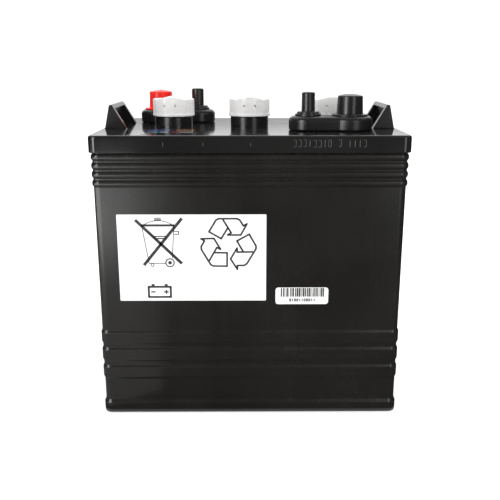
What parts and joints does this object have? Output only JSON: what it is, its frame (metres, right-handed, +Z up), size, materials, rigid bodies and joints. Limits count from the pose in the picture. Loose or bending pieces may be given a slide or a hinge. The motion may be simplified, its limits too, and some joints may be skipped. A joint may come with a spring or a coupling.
{
  "type": "deep cycle battery",
  "caption": "Tall ribbed battery case with a flat lid, quarter-turn vent caps, booted dual terminals under pull-off caps, and lifting lugs at both ends.",
  "frame": {"origin": "centre of the case's underside", "axes": "+X along the long side, towards the negative terminal's end; +Y to the rear; +Z up"},
  "size_m": [0.264, 0.183, 0.2788],
  "materials": {
    "case_plastic": "black polypropylene, softly glossy, faint moulding waviness and scuffs",
    "lid_plastic": "black polypropylene, mirror-glossy",
    "boot_plastic": "black soft plastic, glossy",
    "black_cap_plastic": "black glossy plastic",
    "red_cap_plastic": "bright red glossy plastic",
    "vent_plastic": "natural milky polypropylene, slightly translucent",
    "gasket_rubber": "matt black rubber",
    "lead": "cast lead, dull grey",
    "stud_steel": "bright steel, threaded",
    "positive_plate": "pasted plate, matt dark brown",
    "negative_plate": "pasted plate, matt grey",
    "separator_plastic": "matt microporous sheet",
    "label_paper": "white satin paper with dark print",
    "lid_label_paper": "glossy paper with coloured blocks"
  },
  "bodies": {
    "case": {"container": "case_plastic", "lid": "lid_plastic", "lifting_lug_left": "lid_plastic", "lifting_lug_right": "lid_plastic", "positive_terminal_boot": "boot_plastic", "positive_terminal": "lead", "positive_bushing": "lead", "positive_stud": "stud_steel", "negative_terminal_boot": "boot_plastic", "negative_terminal": "lead", "negative_bushing": "lead", "negative_stud": "stud_steel", "positive_plates_1": "positive_plate", "negative_plates_1": "negative_plate", "separators_1": "separator_plastic", "positive_strap_1": "lead", "negative_strap_1": "lead", "element_cover_1": "separator_plastic", "positive_plates_2": "positive_plate", "negative_plates_2": "negative_plate", "separators_2": "separator_plastic", "positive_strap_2": "lead", "negative_strap_2": "lead", "element_cover_2": "separator_plastic", "positive_plates_3": "positive_plate", "negative_plates_3": "negative_plate", "separators_3": "separator_plastic", "positive_strap_3": "lead", "negative_strap_3": "lead", "element_cover_3": "separator_plastic", "intercell_connector_1": "lead", "intercell_connector_2": "lead", "recycling_label": "label_paper", "code_label": "label_paper", "lid_label": "lid_label_paper"},
    "vent_lift_1": {"vent_gasket_1": "gasket_rubber"},
    "vent_turn_1": {"vent_cap_1": "vent_plastic", "vent_baffle_1": "vent_plastic"},
    "vent_lift_2": {"vent_gasket_2": "gasket_rubber"},
    "vent_turn_2": {"vent_cap_2": "vent_plastic", "vent_baffle_2": "vent_plastic"},
    "vent_lift_3": {"vent_gasket_3": "gasket_rubber"},
    "vent_turn_3": {"vent_cap_3": "vent_plastic", "vent_baffle_3": "vent_plastic"},
    "positive_post_cap": {"positive_post_cap": "red_cap_plastic"},
    "positive_stud_cap": {"positive_stud_cap": "black_cap_plastic"},
    "negative_post_cap": {"negative_post_cap": "black_cap_plastic"},
    "negative_stud_cap": {"negative_stud_cap": "black_cap_plastic"}
  },
  "joints": [
    {"name": "vent_1_lift", "type": "slide", "parent": "case", "child": "vent_lift_1", "axis": [0, 0, 1], "range_m": [0, 0.04]},
    {"name": "vent_1_turn", "type": "hinge", "parent": "vent_lift_1", "child": "vent_turn_1", "pos_m": [-0.07, 0, 0.2466], "axis": [0, 0, 1], "range_deg": [0, 90]},
    {"name": "vent_2_lift", "type": "slide", "parent": "case", "child": "vent_lift_2", "axis": [0, 0, 1], "range_m": [0, 0.04]},
    {"name": "vent_2_turn", "type": "hinge", "parent": "vent_lift_2", "child": "vent_turn_2", "pos_m": [0, 0, 0.2466], "axis": [0, 0, 1], "range_deg": [0, 90]},
    {"name": "vent_3_lift", "type": "slide", "parent": "case", "child": "vent_lift_3", "axis": [0, 0, 1], "range_m": [0, 0.04]},
    {"name": "vent_3_turn", "type": "hinge", "parent": "vent_lift_3", "child": "vent_turn_3", "pos_m": [0.07, 0, 0.2466], "axis": [0, 0, 1], "range_deg": [0, 90]},
    {"name": "positive_post_cap_pull", "type": "slide", "parent": "case", "child": "positive_post_cap", "axis": [0, 0, 1], "range_m": [0, 0.03]},
    {"name": "positive_stud_cap_pull", "type": "slide", "parent": "case", "child": "positive_stud_cap", "axis": [0, 0, 1], "range_m": [0, 0.03]},
    {"name": "negative_post_cap_pull", "type": "slide", "parent": "case", "child": "negative_post_cap", "axis": [0, 0, 1], "range_m": [0, 0.03]},
    {"name": "negative_stud_cap_pull", "type": "slide", "parent": "case", "child": "negative_stud_cap", "axis": [0, 0, 1], "range_m": [0, 0.03]}
  ]
}
